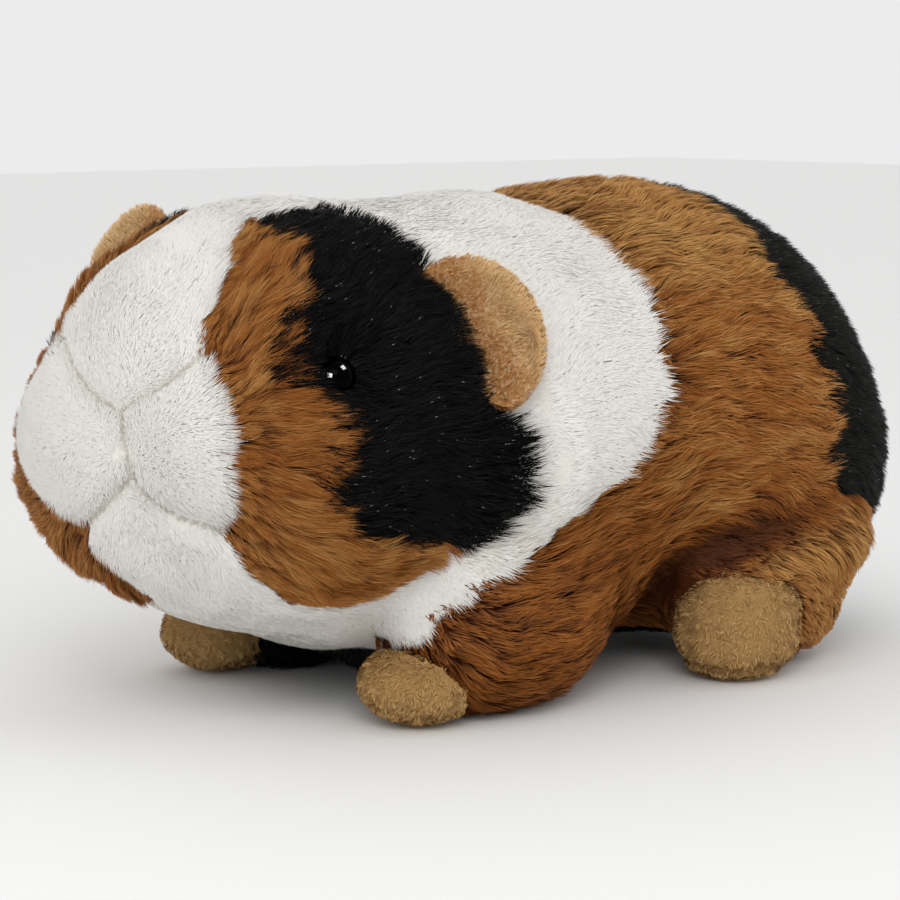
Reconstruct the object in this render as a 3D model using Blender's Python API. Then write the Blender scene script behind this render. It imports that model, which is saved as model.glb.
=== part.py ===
"""Tricolour plush guinea pig, stuffed, standing low on four stub paws with its head turned to its left.

The solids reach to the tips of the pile. The nose points along -Y, +Z is up, the floor is z = 0, and all
lengths are in metres. The head and trunk are one swollen form, swept along a spine and parted by thin cuts.
"""

import math

import bmesh
import bpy
import numpy as np
from mathutils import Euler, Matrix, Vector

# ---------------------------------------------------------------------------------------------------------
# Driving dimensions
# ---------------------------------------------------------------------------------------------------------

GAP = 0.0003  # clearance between neighbouring pieces
FLOOR_Z = 0.0

# The head's own frame: x to the animal's left, -y out of the nose, z up.
HEAD_CENTRE = Vector((-0.0021, -0.0568, 0.0677))
HEAD_YAW = math.radians(15.5)  # turned to its left
HEAD_NOD = math.radians(2.3)
HEAD_ROLL = math.radians(5.1)  # left ear lower than the right
HEAD_TURN = Euler((HEAD_NOD, 0.0, HEAD_YAW)).to_matrix() @ Euler((0.0, HEAD_ROLL, 0.0)).to_matrix()

# Each swelling is (centre, radii). The head's are in its own frame and the side ones are mirrored in x.
SKULL = ((0.0, 0.004, 0.002), (0.0490, 0.0520, 0.0430))
JOWLS = ((0.0, -0.0020, -0.0175), (0.0504, 0.0490, 0.0335))
BROW = ((0.0, -0.0237, 0.0140), (0.0310, 0.0250, 0.0285))
CHEEK = ((0.0234, -0.0234, -0.0100), (0.0232, 0.0222, 0.0270))
NOSE_BRIDGE = ((0.0, -0.0350, 0.0150), (0.0165, 0.0175, 0.0200))
WHISKER_PAD = ((0.0150, -0.0415, -0.0035), (0.0155, 0.0150, 0.0170))
CHIN = ((0.0, -0.0335, -0.0245), (0.0200, 0.0160, 0.0130))
BARREL = ((0.0005, 0.0390, 0.0585), (0.0580, 0.0700, 0.0556))
SHOULDERS = ((0.0005, -0.0175, 0.0575), (0.0555, 0.0440, 0.0540))
RUMP = ((0.0005, 0.0595, 0.0450), (0.0535, 0.0575, 0.0425))

# How softly each swelling flows into the ones before it.
HEAD_BLENDS = (0.014, 0.014, 0.012, 0.007, 0.005, 0.0035)
TRUNK_BLEND = 0.024
RUMP_BLEND = 0.012
NECK_BLEND = 0.006

# The spine that the body is swept along, from the middle of the rump to the middle of the head.
SPINE_REAR = Vector((0.0, 0.058, 0.055))
SPINE_MIDDLE = Vector((0.0, 0.013, 0.057))
SPINE_HEAD = (0.0, -0.010, 0.0)  # in the head's frame
SPINE_NECK_REACH = 0.045

# Where the body is parted: fractions of the spine, then planes in the head's frame.
NECK_CUT = 0.62
SADDLE_CUT = 0.36
RUMP_CUT_Y = 0.066
MUZZLE = ((0.0, -0.0500, -0.0030), (0.0310, 0.0230, 0.0195))  # all of the body inside this is muzzle
CHIN_PIECE = ((0.0, -0.0400, -0.0290), (0.0230, 0.0220, 0.0130))

FOREARM = ((0.0360, -0.0262, 0.0165), (0.0195, 0.0280, 0.0185))
FORE_PAW = ((0.0360, -0.0484, 0.0102), (0.0130, 0.0138, 0.0106))
HAUNCH = ((0.0385, 0.0528, 0.0240), (0.0245, 0.0350, 0.0250))
HIND_PAW = ((0.0465, 0.0400, 0.0146), (0.0155, 0.0170, 0.0161))

EAR_CENTRE = (0.0460, 0.0080, 0.0190)  # middle of the left flap, in the head's frame
RIGHT_EAR_SHIFT = (-0.0014, -0.0052, 0.0)  # the right ear is sewn on a little further forward
EAR_SEAM = (0.63, 0.0, -0.78)  # the way the seam runs down the side of the head
EAR_OUT = (0.69, 0.46, 0.56)  # the way the flap stands out from the seam
EAR_RADII = (0.0178, 0.0165)  # along the seam and out from it
EAR_THICKNESS = 0.0060
EAR_CUP = 0.0040

EYE_RADIUS = 0.0045
EYE_ROUND = math.radians(51.5)  # round from the nose to the side
EYE_RISE = math.radians(17.5)
EYE_DEPTH = 0.0042  # the eye's middle, below the tips of the pile
EYE_PIT_RADIUS = 0.0078  # the parting in the pile that the eye shows through

BODY_RINGS = (14, 10, 8)  # round the face, along the spine and round the rump
BODY_SEGMENTS = 48

PALETTE = {
    "white_plush": ((0.86, 0.85, 0.82), 0.95, 0.0),
    "ginger_plush": ((0.40, 0.17, 0.05), 0.92, 0.0),
    "black_plush": ((0.012, 0.012, 0.011), 0.85, 0.0),
    "tan_velboa": ((0.47, 0.28, 0.12), 0.95, 0.0),
    "black_bead": ((0.004, 0.004, 0.004), 0.08, 0.0),
}

# ---------------------------------------------------------------------------------------------------------
# The body's form, as one smooth field of swellings
# ---------------------------------------------------------------------------------------------------------


def swelling(points, centre, radii):
    """Roughly the distance of each point from an ellipsoid, negative inside it."""
    offset = points - np.array(centre)
    near = np.linalg.norm(offset / np.array(radii), axis=-1)
    slope = np.linalg.norm(offset / np.array(radii) ** 2, axis=-1) + 1e-9
    return near * (near - 1.0) / slope


def flow(first, second, width):
    """Two swellings joined with a soft valley of that width."""
    share = np.maximum(width - np.abs(first - second), 0.0) / width
    return np.minimum(first, second) - share * share * width / 4.0


def both_sides(points):
    folded = points.copy()
    folded[..., 0] = np.abs(folded[..., 0])
    return folded


def head_form(points):
    """The head's surface is where this is zero. The points are in the head's frame."""
    form = swelling(points, *SKULL)
    folded = both_sides(points)
    for part, width in zip((JOWLS, BROW, CHEEK, NOSE_BRIDGE, CHIN, WHISKER_PAD), HEAD_BLENDS):
        form = flow(form, swelling(folded, *part), width)
    return form


def trunk_form(points):
    form = flow(swelling(points, *BARREL), swelling(points, *SHOULDERS), TRUNK_BLEND)
    return flow(form, swelling(points, *RUMP), RUMP_BLEND)


def body_form(points):
    in_head = (points - np.array(HEAD_CENTRE)) @ np.array(HEAD_TURN)
    return flow(trunk_form(points), head_form(in_head), NECK_BLEND)


def from_head(place):
    """A place in the head's frame, in the model's."""
    return HEAD_TURN @ Vector(place) + HEAD_CENTRE


def outermost(starts, directions, offset=0.0, reach=0.11, steps=56, halvings=18):
    """The last crossing of the body's surface along each ray, pushed out by offset."""
    lengths = np.linspace(0.0, reach, steps)
    inside = np.stack([body_form(starts + directions * length) < offset for length in lengths])
    last = steps - 1 - np.argmax(inside[::-1], axis=0)
    low, high = lengths[last], lengths[last] + lengths[1]
    for _ in range(halvings):
        middle = (low + high) / 2.0
        within = body_form(starts + directions * middle[:, None]) < offset
        low, high = np.where(within, middle, low), np.where(within, high, middle)
    return starts + directions * low[:, None]


# ---------------------------------------------------------------------------------------------------------
# The spine, and the ring of rays that leaves it at each station
# ---------------------------------------------------------------------------------------------------------


def spine_point(share):
    """A point of the spine and its forward direction; share runs from 0 at the rump to 1 at the head."""
    head = from_head(SPINE_HEAD)
    ahead = HEAD_TURN @ Vector((0.0, -1.0, 0.0))
    knots = (SPINE_REAR, SPINE_MIDDLE, head - ahead * SPINE_NECK_REACH, head)
    rest = 1.0 - share
    weights = (rest**3, 3 * share * rest**2, 3 * share**2 * rest, share**3)
    slopes = (-(rest**2), rest**2 - 2 * share * rest, 2 * share * rest - share**2, share**2)
    point = sum((knot * weight for knot, weight in zip(knots, weights)), Vector())
    tangent = sum((knot * slope for knot, slope in zip(knots, slopes)), Vector())
    return point, tangent.normalized()


def stations():
    """(share of the spine, lean of the rays towards the nose) for each ring, from the rump to the nose."""
    face, middle, rear = BODY_RINGS
    for ring in range(1, rear):
        yield 0.0, -math.pi / 2 * (1 - ring / rear)
    for ring in range(middle):
        yield ring / middle, 0.0
    for ring in range(face):
        yield 1.0, math.pi / 2 * ring / face


def rays():
    """Starts and directions of the rays: the rump's pole, the rings, then the nose's pole."""
    point, tangent = spine_point(0.0)
    starts, directions = [point], [-tangent]
    for share, lean in stations():
        point, tangent = spine_point(share)
        side = tangent.cross(Vector((0.0, 0.0, 1.0))).normalized()
        top = side.cross(tangent)
        for segment in range(BODY_SEGMENTS):
            angle = 2 * math.pi * segment / BODY_SEGMENTS
            across = side * math.sin(angle) - top * math.cos(angle)
            starts.append(point)
            directions.append(across * math.cos(lean) + tangent * math.sin(lean))
    point, tangent = spine_point(1.0)
    return np.array(starts + [point]), np.array(directions + [tangent])


def swept_body(offset=0.0):
    """The head and trunk as one closed bmesh: a UV sphere whose rings are drawn out along the spine."""
    body = bmesh.new()
    rings = sum(1 for _ in stations())
    bmesh.ops.create_uvsphere(body, u_segments=BODY_SEGMENTS, v_segments=rings + 1, radius=1.0)
    starts, directions = rays()
    places = outermost(starts, directions, offset)
    level = {}
    for vertex in body.verts:
        level.setdefault(round(vertex.co.z, 5), []).append(vertex)
    index = 0
    for height in sorted(level):
        ring = sorted(level[height], key=lambda v: math.atan2(v.co.y, v.co.x))
        for vertex in ring:
            vertex.co = places[index]
            index += 1
    body.normal_update()
    bmesh.ops.recalc_face_normals(body, faces=body.faces)
    return body


# ---------------------------------------------------------------------------------------------------------
# Making and cutting pieces
# ---------------------------------------------------------------------------------------------------------


def cleared_scene():
    for thing in list(bpy.data.objects):
        bpy.data.objects.remove(thing, do_unlink=True)
    made = []
    for name in ("plush_guinea_pig", "cutters"):
        collection = bpy.data.collections.new(name)
        bpy.context.scene.collection.children.link(collection)
        made.append(collection)
    return made


def finish_of(slot):
    found = bpy.data.materials.get(slot)
    if found:
        return found
    colour, roughness, metallic = PALETTE[slot]
    finish = bpy.data.materials.new(slot)
    finish.use_nodes = True
    shader = finish.node_tree.nodes["Principled BSDF"]
    shader.inputs["Base Color"].default_value = (*colour, 1.0)
    shader.inputs["Roughness"].default_value = roughness
    shader.inputs["Metallic"].default_value = metallic
    return finish


def placed(mesh, name, collection, slot=None):
    """The bmesh as a named object."""
    data = bpy.data.meshes.new(name)
    mesh.to_mesh(data)
    mesh.free()
    data.shade_smooth()
    piece = bpy.data.objects.new(name, data)
    collection.objects.link(piece)
    if slot:
        data.materials.append(finish_of(slot))
    else:
        piece.hide_render = True
        piece.display_type = "WIRE"
    return piece


def trim(mesh, point, keep_towards):
    """Cuts the closed bmesh at a plane, keeps the side that keep_towards points to, and closes the cut."""
    geometry = mesh.verts[:] + mesh.edges[:] + mesh.faces[:]
    cut = bmesh.ops.bisect_plane(
        mesh, geom=geometry, dist=1e-7, plane_co=point, plane_no=keep_towards, clear_inner=True
    )
    rim = [part for part in cut["geom_cut"] if isinstance(part, bmesh.types.BMEdge)]
    if rim:
        bmesh.ops.edgeloop_fill(mesh, edges=rim)
    return mesh


def slice_of_body(*planes):
    """The part of the swept body on the kept side of each plane, half a gap clear of it."""
    piece = swept_body()
    for point, keep_towards in planes:
        direction = Vector(keep_towards).normalized()
        trim(piece, Vector(point) + direction * GAP / 2, direction)
    return piece


def head_plane(place, keep_towards):
    return from_head(place), HEAD_TURN @ Vector(keep_towards)


def blob(centre, radii, side=1, grow=0.0, segments=18, rings=11):
    """A closed swelling, resting on a pressed flat where it meets the floor."""
    mesh = bmesh.new()
    bmesh.ops.create_uvsphere(mesh, u_segments=segments, v_segments=rings, radius=1.0)
    size = [radius + grow for radius in radii]
    bmesh.ops.scale(mesh, vec=size, verts=mesh.verts)
    bmesh.ops.translate(mesh, vec=(side * centre[0], centre[1], centre[2]), verts=mesh.verts)
    if centre[2] - size[2] < FLOOR_Z:
        trim(mesh, Vector((0, 0, FLOOR_Z - (grow > 0) * 0.002)), Vector((0, 0, 1)))
    return mesh


def oval_in_head(place, radii, grow=0.0):
    """A closed oval in the head's frame."""
    mesh = bmesh.new()
    bmesh.ops.create_uvsphere(mesh, u_segments=20, v_segments=12, radius=1.0)
    bmesh.ops.scale(mesh, vec=[radius + grow for radius in radii], verts=mesh.verts)
    bmesh.ops.translate(mesh, vec=place, verts=mesh.verts)
    bmesh.ops.transform(mesh, matrix=Matrix.Translation(HEAD_CENTRE) @ HEAD_TURN.to_4x4(), verts=mesh.verts)
    return mesh


def cut_by(piece, cutter, operation="DIFFERENCE"):
    cut = piece.modifiers.new("cut_" + cutter.name, "BOOLEAN")
    cut.operation = operation
    cut.solver = "EXACT"
    cut.object = cutter


# ---------------------------------------------------------------------------------------------------------
# Head: skull, whisker pads and chin
# ---------------------------------------------------------------------------------------------------------


def neck_plane(forward):
    point, tangent = spine_point(NECK_CUT)
    return point, tangent if forward else -tangent


def build_head(model, cutters):
    head = placed(slice_of_body(neck_plane(True)), "head", model, "white_plush")
    muzzle = placed(oval_in_head(*MUZZLE), "muzzle_form", cutters)
    grown_muzzle = placed(oval_in_head(*MUZZLE, GAP), "muzzle_cutter", cutters)
    chin_form = placed(oval_in_head(*CHIN_PIECE), "chin_form", cutters)
    cut_by(head, grown_muzzle)
    cut_by(head, placed(oval_in_head(*CHIN_PIECE, GAP), "chin_cutter", cutters))
    for side, name in ((1, "left"), (-1, "right")):
        half = slice_of_body(neck_plane(True), head_plane((0, 0, 0), (side, 0, 0)))
        pad = placed(half, f"whisker_pad_{name}", model, "white_plush")
        cut_by(pad, muzzle, "INTERSECT")
    chin = placed(slice_of_body(neck_plane(True)), "chin", model, "white_plush")
    cut_by(chin, chin_form, "INTERSECT")
    cut_by(chin, grown_muzzle)
    return head


# ---------------------------------------------------------------------------------------------------------
# Trunk: white collar, ginger saddle and black rump
# ---------------------------------------------------------------------------------------------------------


def build_trunk(model):
    waist, ahead = spine_point(SADDLE_CUT)
    rump_plane = Vector((0, RUMP_CUT_Y, 0))
    collar = slice_of_body(neck_plane(False), (waist, ahead))
    saddle = slice_of_body((waist, -ahead), (rump_plane, (0, -1, 0)))
    rump = slice_of_body((rump_plane, (0, 1, 0)))
    placed(collar, "collar", model, "white_plush")
    placed(saddle, "saddle", model, "ginger_plush")
    placed(rump, "rump", model, "black_plush")


# ---------------------------------------------------------------------------------------------------------
# Legs and paws: stuffed stubs sewn under the trunk
# ---------------------------------------------------------------------------------------------------------


def build_legs(model, cutters, grown_body):
    pairs = (
        ("foreleg", FOREARM, "fore_paw", FORE_PAW),
        ("haunch", HAUNCH, "hind_paw", HIND_PAW),
    )
    for side, name in ((1, "left"), (-1, "right")):
        for leg_name, leg_form, paw_name, paw_form in pairs:
            leg = placed(blob(*leg_form, side), f"{leg_name}_{name}", model, "ginger_plush")
            cut_by(leg, grown_body)
            grown_leg = placed(
                blob(*leg_form, side, grow=GAP), f"{leg_name}_{name}_cutter", cutters
            )
            paw = placed(blob(*paw_form, side), f"{paw_name}_{name}", model, "tan_velboa")
            cut_by(paw, grown_leg)
            cut_by(paw, grown_body)


# ---------------------------------------------------------------------------------------------------------
# Ears: round double-sided flaps, cupped forwards
# ---------------------------------------------------------------------------------------------------------


def ear_flap(side):
    mesh = bmesh.new()
    bmesh.ops.create_uvsphere(mesh, u_segments=22, v_segments=10, radius=1.0)
    for vertex in mesh.verts:
        rim = vertex.co.x**2 + vertex.co.y**2
        vertex.co.x *= EAR_RADII[0]
        vertex.co.y *= EAR_RADII[1]
        vertex.co.z = vertex.co.z * EAR_THICKNESS / 2 + EAR_CUP * (rim - 0.5)
    mirror = Vector((side, 1.0, 1.0))
    seam = Vector(EAR_SEAM).normalized()
    out = (Vector(EAR_OUT) - seam * seam.dot(Vector(EAR_OUT))).normalized()
    hollow = seam.cross(out)
    columns = Matrix([seam * mirror, out * mirror, hollow * mirror]).transposed()
    shift = Vector(RIGHT_EAR_SHIFT if side < 0 else (0.0, 0.0, 0.0))
    place = Matrix.Translation(Vector(EAR_CENTRE) * mirror + shift) @ columns.to_4x4()
    frame = Matrix.Translation(HEAD_CENTRE) @ HEAD_TURN.to_4x4()
    bmesh.ops.transform(mesh, matrix=frame @ place, verts=mesh.verts)
    mesh.normal_update()
    bmesh.ops.recalc_face_normals(mesh, faces=mesh.faces)
    return mesh


def build_ears(model, grown_body):
    for side, name in ((1, "left"), (-1, "right")):
        ear = placed(ear_flap(side), f"ear_{name}", model, "tan_velboa")
        cut_by(ear, grown_body)


# ---------------------------------------------------------------------------------------------------------
# Eyes: black beads set into a parting of the pile
# ---------------------------------------------------------------------------------------------------------


def eye_place(side):
    """The eye's middle, in the model's frame, and the way it looks."""
    outward = Vector(
        (
            side * math.sin(EYE_ROUND) * math.cos(EYE_RISE),
            -math.cos(EYE_ROUND) * math.cos(EYE_RISE),
            math.sin(EYE_RISE),
        )
    )
    outward = HEAD_TURN @ outward
    surface = outermost(np.array([HEAD_CENTRE]), np.array([outward]))[0]
    return Vector(surface) - outward * EYE_DEPTH, outward


def ball(centre, radius, segments=14, rings=9):
    mesh = bmesh.new()
    bmesh.ops.create_uvsphere(mesh, u_segments=segments, v_segments=rings, radius=radius)
    bmesh.ops.translate(mesh, vec=centre, verts=mesh.verts)
    return mesh


def build_eyes(model, cutters, head):
    for side, name in ((1, "left"), (-1, "right")):
        centre, outward = eye_place(side)
        placed(ball(centre, EYE_RADIUS), f"eye_{name}", model, "black_bead")
        pit = placed(ball(centre + outward * EYE_DEPTH * 1.5, EYE_PIT_RADIUS), f"eye_pit_{name}", cutters)
        socket = placed(ball(centre, EYE_RADIUS + GAP), f"eye_socket_{name}", cutters)
        cut_by(head, pit)
        cut_by(head, socket)


def main():
    model, cutters = cleared_scene()
    grown_body = placed(swept_body(GAP), "body_cutter", cutters)
    head = build_head(model, cutters)
    build_trunk(model)
    build_legs(model, cutters, grown_body)
    build_ears(model, grown_body)
    build_eyes(model, cutters, head)


main()
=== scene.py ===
"""Visual model of a small plush guinea pig toy: a stuffed shell, its pile, velboa ears and paws, bead eyes."""

import math
from collections import namedtuple

import bmesh
import bpy
import numpy as np
from mathutils import Matrix, Vector
from mathutils.kdtree import KDTree


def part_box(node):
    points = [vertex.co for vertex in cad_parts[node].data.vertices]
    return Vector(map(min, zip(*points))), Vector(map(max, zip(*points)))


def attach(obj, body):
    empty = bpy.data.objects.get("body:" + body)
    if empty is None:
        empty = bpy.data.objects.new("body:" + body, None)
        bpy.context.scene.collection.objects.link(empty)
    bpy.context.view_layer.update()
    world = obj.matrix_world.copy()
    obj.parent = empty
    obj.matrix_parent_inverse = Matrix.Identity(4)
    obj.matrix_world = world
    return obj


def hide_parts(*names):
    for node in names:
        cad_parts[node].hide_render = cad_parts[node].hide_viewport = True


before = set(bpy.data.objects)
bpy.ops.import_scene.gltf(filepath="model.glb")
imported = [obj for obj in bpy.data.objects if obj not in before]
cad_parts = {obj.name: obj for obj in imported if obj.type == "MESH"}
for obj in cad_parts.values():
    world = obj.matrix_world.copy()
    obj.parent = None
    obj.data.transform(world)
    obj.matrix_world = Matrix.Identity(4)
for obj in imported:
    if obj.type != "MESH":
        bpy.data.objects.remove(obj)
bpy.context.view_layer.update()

# ---------------------------------------------------------------------------------------------------------
# Stuffed shell
# The toy's head, trunk and legs are one bag of knitted plush backing, sewn from panels and packed with
# polyester fibre. It lies inside the solids by the depth of the pile, and has the seams' valleys pulled in.
# ---------------------------------------------------------------------------------------------------------

MM = 0.001  # lengths are in mm, unless a comment says otherwise
SIDES = (("left", 1), ("right", -1))
SHELL_GRAIN = 1.6
GAP_CLOSER = 0.25  # each solid swells by this much, so that neighbours meet
FLESH = ["head", "whisker_pad_left", "whisker_pad_right", "chin", "collar", "saddle", "rump"]
FLESH += [f"{part}_{name}" for part in ("foreleg", "haunch") for name, _ in SIDES]

# The head's own frame: x to the toy's left, -y out of the nose, z up.
HEAD_CENTRE = np.array((-2.1, -56.8, 67.7))
HEAD_YAW, HEAD_NOD, HEAD_ROLL = math.radians(15.5), math.radians(2.3), math.radians(5.1)
HEAD_TURN = np.array(
    Matrix.Rotation(HEAD_YAW, 3, "Z") @ Matrix.Rotation(HEAD_NOD, 3, "X") @ Matrix.Rotation(HEAD_ROLL, 3, "Y")
)


def in_head(points):
    """Points of the toy, as places in the head's own frame."""
    return (points - HEAD_CENTRE) @ HEAD_TURN


def from_head(places):
    """Places in the head's own frame, as points of the toy."""
    return np.asarray(places, float) @ HEAD_TURN.T + HEAD_CENTRE


def ramp(values, start, end):
    """0 before start, 1 after end, smooth between; start may be the larger."""
    share = np.clip((values - start) / (end - start), 0, 1)
    return share * share * (3 - 2 * share)


def unit(vectors):
    return vectors / np.maximum(np.linalg.norm(vectors, axis=-1, keepdims=True), 1e-9)


def waves(points, size, seed):
    """Smooth noise of about -1 to 1, with swells about that many mm across."""
    rng = np.random.default_rng(seed)
    total = np.zeros(len(points))
    for _ in range(8):
        direction = unit(rng.normal(size=3))
        total += np.sin(points @ direction * math.tau / size * rng.uniform(0.7, 1.4) + rng.uniform(0, math.tau))
    return total / 3.2


def link(thing):
    bpy.context.scene.collection.objects.link(thing)
    return thing


def bagged(name, nodes, grain):
    """One closed mesh over the named solids, their thin gaps closed, with faces about grain mm across."""
    whole = bmesh.new()
    for node in nodes:
        piece = bmesh.new()
        piece.from_mesh(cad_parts[node].data)
        bmesh.ops.remove_doubles(piece, verts=piece.verts, dist=1e-6)
        piece.normal_update()
        for vertex in piece.verts:
            vertex.co += vertex.normal * (GAP_CLOSER * MM)
        data = bpy.data.meshes.new("panel")
        piece.to_mesh(data)
        piece.free()
        whole.from_mesh(data)
        bpy.data.meshes.remove(data)
    data = bpy.data.meshes.new(name)
    whole.to_mesh(data)
    whole.free()
    rough = link(bpy.data.objects.new(name, data))
    wrap = rough.modifiers.new("wrap", "REMESH")
    wrap.mode = "VOXEL"
    wrap.voxel_size = grain * MM
    evaluated = rough.evaluated_get(bpy.context.evaluated_depsgraph_get())
    smooth = bpy.data.meshes.new_from_object(evaluated)
    smooth.name = name
    rough.modifiers.clear()
    rough.data = smooth
    bpy.data.meshes.remove(data)
    smooth.shade_smooth()
    return rough


def points_of(mesh):
    flat = np.empty(len(mesh.vertices) * 3, np.float32)
    mesh.vertices.foreach_get("co", flat)
    return flat.reshape(-1, 3).astype(float) / MM


def normals_of(mesh):
    mesh.update()
    flat = np.empty(len(mesh.vertices) * 3, np.float32)
    mesh.vertex_normals.foreach_get("vector", flat)
    return flat.reshape(-1, 3).astype(float)


def set_points(mesh, points):
    mesh.vertices.foreach_set("co", (points * MM).astype(np.float32).ravel())
    mesh.update()


def edges_of(mesh):
    flat = np.empty(len(mesh.edges) * 2, np.int32)
    mesh.edges.foreach_get("vertices", flat)
    return flat.reshape(-1, 2)


def eased(points, edges, rounds, share=0.5):
    """Each point moved towards its neighbours' mean. share may differ from point to point."""
    share = np.broadcast_to(np.asarray(share, float), (len(points),))[:, None]
    count = np.bincount(edges.ravel(), minlength=len(points))[:, None]
    for _ in range(rounds):
        total = np.empty_like(points)
        for axis in range(points.shape[1]):
            near = np.concatenate((points[edges[:, 1], axis], points[edges[:, 0], axis]))
            total[:, axis] = np.bincount(edges.T.ravel(), near, minlength=len(points))
        points = points + (total / count - points) * share
    return points


def read_off(values, pairs):
    """The second numbers of a table of pairs at these values of its first, on straight lines between."""
    return np.interp(values, *np.transpose(pairs))


def gap_to(points, route):
    """Distance of each point from a route of straight runs, in as many axes as both have."""
    nearest = np.full(len(points), 1e9)
    for start, end in zip(np.asarray(route[:-1], float), np.asarray(route[1:], float)):
        run = end - start
        share = np.clip((points - start) @ run / (run @ run), 0, 1)
        nearest = np.minimum(nearest, np.linalg.norm(points - start - share[:, None] * run, axis=1))
    return nearest


shell = bagged("stuffed_shell", FLESH, SHELL_GRAIN)
edges = edges_of(shell.data)
coat = eased(points_of(shell.data), edges, 5)

# The eyes' partings in the solids are filled level again, because the pile parts there by itself.
BEAD_SHIFT = np.array((0.6, 2.2, -0.8))  # outward, back and down from its solid, so that it sits in the pile
eyes = {name: np.mean([np.array(corner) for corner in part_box(f"eye_{name}")], axis=0) / MM for name, _ in SIDES}
eyes = {name: eyes[name] + HEAD_TURN @ (BEAD_SHIFT * (side, 1, 1)) for name, side in SIDES}
for name, _ in SIDES:
    near_eye = ramp(np.linalg.norm(coat - eyes[name], axis=1), 15, 11)
    coat = eased(coat, edges, 160, 0.6 * near_eye)

# The shoulder panel runs on into the leg, so only the valley below the chest stays.
x, y, z = coat.T
shoulder = ramp(np.abs(x), 34, 40) * ramp(z, 20, 30) * ramp(z, 58, 46) * ramp(y, -42, -30) * ramp(y, 24, 12)
coat = eased(coat, edges, 90, 0.55 * shoulder)
x, y, z = coat.T
armpit = ramp(np.abs(x), 20, 27) * ramp(z, 1, 6) * ramp(z, 46, 34) * ramp(y, -14, -4) * ramp(y, 32, 22)
coat = eased(coat, edges, 160, 0.6 * armpit)

# The leg's sewn end swells back under the trunk, and the chest hangs a little below the chin.
x, y, z = coat.T
coat[:, 1] += 6.0 * ramp(np.abs(x), 26, 34) * ramp(y, -16, -3) * ramp(y, 20, 8) * ramp(z, 34, 18) * ramp(z, 0, 5)
coat = eased(coat, edges, 6)
x, y, z = coat.T
coat[:, 2] -= 4.5 * ramp(np.abs(x), 38, 24) * ramp(y, -70, -56) * ramp(y, -20, -34) * ramp(z, 34, 18)

# The belly is drawn up between the legs.
BELLY_LIFT = 2.8
x, y, z = coat.T
between = ramp(np.abs(x), 44, 36) * ramp(y, -2, 12) * ramp(y, 60, 44) * ramp(z, 16, 6)
coat[:, 2] += BELLY_LIFT * between

# The haunch tapers down behind to the paw: how far its corner moves out, by height.
TAPER = ((3, 0), (8, -2.5), (14, -4.6), (19, -4.6), (23, -3.2), (27, -1), (31, 0.8), (36, 1.0), (42, 0))
CORNER_OUT, CORNER_BACK = 0.652, 0.758  # the way that corner points
x, y, z = coat.T
corner = CORNER_OUT * np.abs(x) + CORNER_BACK * y
taper = read_off(z, TAPER) * (ramp(corner, 66, 86) * ramp(np.abs(x), 30, 44) * ramp(y, 34, 50))
coat[:, 0] += CORNER_OUT * taper * np.sign(x)
coat[:, 1] += CORNER_BACK * taper

# The muzzle is stuffed to one smooth dome before its seams are pulled in.
head = in_head(coat)
dome = ramp(head[:, 1], -22, -32) * ramp(np.abs(head[:, 0]), 40, 30) * ramp(head[:, 2], 34, 26)
coat = eased(coat, edges, 60, 0.5 * dome)

# Valleys that the stitching pulls in: (route, depth, width) in mm. The muzzle's are seen from the nose.
MUZZLE_SEAMS = (
    (((-0.3, 3.5), (3.3, 6.2), (8.7, 9.4), (12.4, 12.8), (14.8, 15.8), (17, 19)), 1.8, 1.5),
    (((-0.3, 3.5), (-4.7, 4.9), (-9.6, 7.3), (-15.7, 11.1), (-21, 15)), 2.2, 1.6),
    (((-0.3, 3.5), (0.2, -1.4), (1.3, -5.4), (2.3, -8.4)), 2.8, 1.6),
    (((2.3, -8.4), (3.8, -11.3), (8.2, -13.3), (13, -15.3), (19.5, -16.9), (24.5, -17.4), (29, -17)), 3.0, 1.8),
    (((2.3, -8.4), (-1.1, -12.7), (-6.1, -17.5), (-12.3, -22.2), (-18.5, -24.5)), 2.8, 1.8),
)
PADS, PAD_RADIUS, PAD_BULGE = ((17.0, -3.5), (-12.0, -6.5)), 9.0, 1.9
# The fold in front of the thigh, as (x, y, z) from front to back, and its size at the front and lost to the back.
FOLD_DEPTH, FOLD_WIDTH = (9.0, 3.5), (3.9, 0.9)
THIGH_SEAM = (
    (34, 19, 10), (36.4, 18.3, 13.5), (41.1, 16.8, 18.3), (45.5, 16.6, 22.9), (50.4, 20.3, 27.7), (53.1, 24.9, 31.2),
    (55.6, 32.6, 34.6), (57.2, 40.4, 37.6), (57.8, 49.1, 39.4), (57, 62.9, 38.6), (49.4, 81.6, 34.1),
)


def sunk_by_seams(points):
    """How far the stitching draws the surface in, in mm. The muzzle's stuffing bulges between its seams."""
    head = in_head(points)
    on_face = ramp(head[:, 1], -30, -38)
    sunk = np.zeros(len(points))
    for route, depth, width in MUZZLE_SEAMS:
        gap = gap_to(head[:, (0, 2)], route)
        sunk = np.maximum(sunk, on_face * depth * np.exp(-((gap / width) ** 2)))
    for centre in PADS:
        off = np.linalg.norm(head[:, (0, 2)] - centre, axis=1) / PAD_RADIUS
        sunk -= on_face * PAD_BULGE * np.exp(-(off**2))
    gap = gap_to(np.column_stack((np.abs(points[:, 0]), points[:, 1:])), THIGH_SEAM)
    back = ramp(points[:, 1], 24, 58)
    width = FOLD_WIDTH[0] - FOLD_WIDTH[1] * back
    fold = (FOLD_DEPTH[0] - FOLD_DEPTH[1] * back) * ramp(points[:, 1], 72, 54) * np.exp(-((gap / width) ** 2))
    return np.maximum(sunk, fold)


def swelling(points, centre, size):
    """A smooth swelling of height 1 about a place in the head's frame, out to about size."""
    return np.exp(-(np.linalg.norm((in_head(points) - centre) / size, axis=1) ** 2))


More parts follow.
